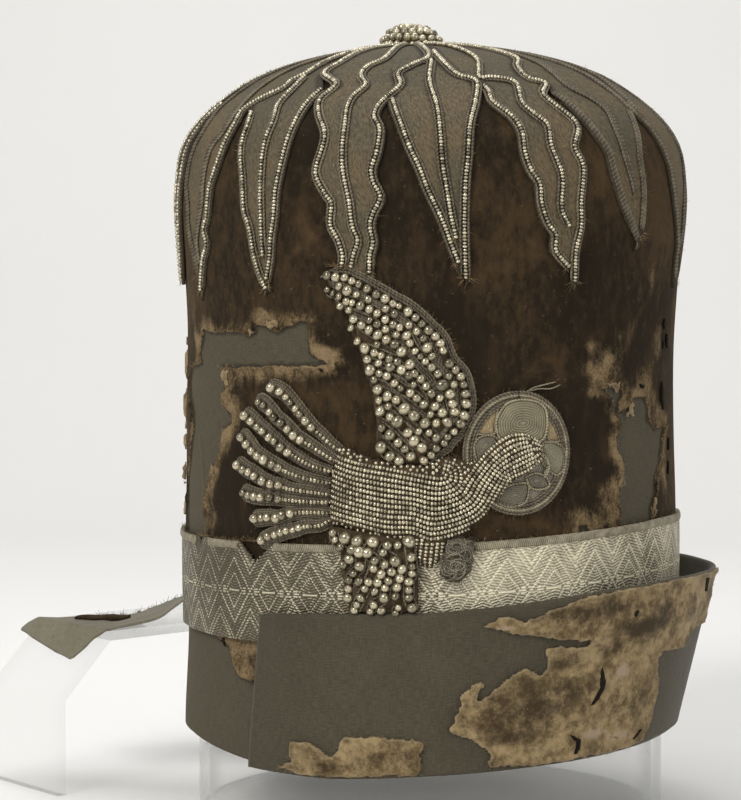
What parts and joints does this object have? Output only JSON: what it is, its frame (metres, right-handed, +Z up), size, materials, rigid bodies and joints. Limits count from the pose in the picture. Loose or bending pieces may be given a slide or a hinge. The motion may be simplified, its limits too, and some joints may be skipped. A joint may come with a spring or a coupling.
{
  "type": "pearl-worked ceremonial hat on a clear display stand",
  "caption": "Tall round-topped velvet hat with pearl sun rays, a pearl dove, a woven silver band, a turned-up brim and a lappet, on a clear tube stand with a riser.",
  "frame": {"origin": "middle of the footprint, on the table that the stand's tube rests on", "axes": "+Z up along the hat, -Y towards the front with the dove, +X to the viewer's right"},
  "size_m": [0.3001, 0.2303, 0.313],
  "materials": {
    "velvet": "worn dark brown silk velvet",
    "worn_velvet": "bald tan velvet ground with rubbed pile",
    "silk": "plain woven olive-grey silk, dull sheen",
    "lining": "pale olive lining cloth",
    "pearl": "small irregular river pearls, soft lustre",
    "galloon": "woven silver-gilt thread in a zigzag pattern",
    "cord": "tarnished silver thread wound on silk",
    "acrylic": "clear polished acrylic sheet and tube"
  },
  "bodies": {
    "root": {"crown": "velvet", "top_button": "pearl", "sun_ray_01": "silk", "sun_ray_02": "silk", "sun_ray_03": "silk", "sun_ray_04": "silk", "sun_ray_05": "silk", "sun_ray_06": "silk", "sun_ray_07": "silk", "sun_ray_08": "silk", "sun_ray_09": "silk", "sun_ray_10": "silk", "sun_ray_11": "silk", "sun_ray_12": "silk", "sun_ray_13": "silk", "sun_ray_14": "silk", "sun_ray_15": "silk", "sun_ray_16": "silk", "galloon_band": "galloon", "turned_up_brim": "silk", "brim_velvet_right": "worn_velvet", "brim_velvet_left": "worn_velvet", "dove_body": "pearl", "dove_wing": "pearl", "dove_far_wing": "pearl", "dove_tail_feather_1": "pearl", "dove_tail_feather_2": "pearl", "dove_tail_feather_3": "pearl", "dove_tail_feather_4": "pearl", "dove_tail_feather_5": "pearl", "dove_tail_feather_6": "pearl", "dove_tail_feather_7": "pearl", "dove_tail_feather_8": "pearl", "nimbus": "cord", "thread_knot": "cord", "lappet": "lining", "stand_tube": "acrylic", "stand_riser": "acrylic"}
  },
  "joints": []
}
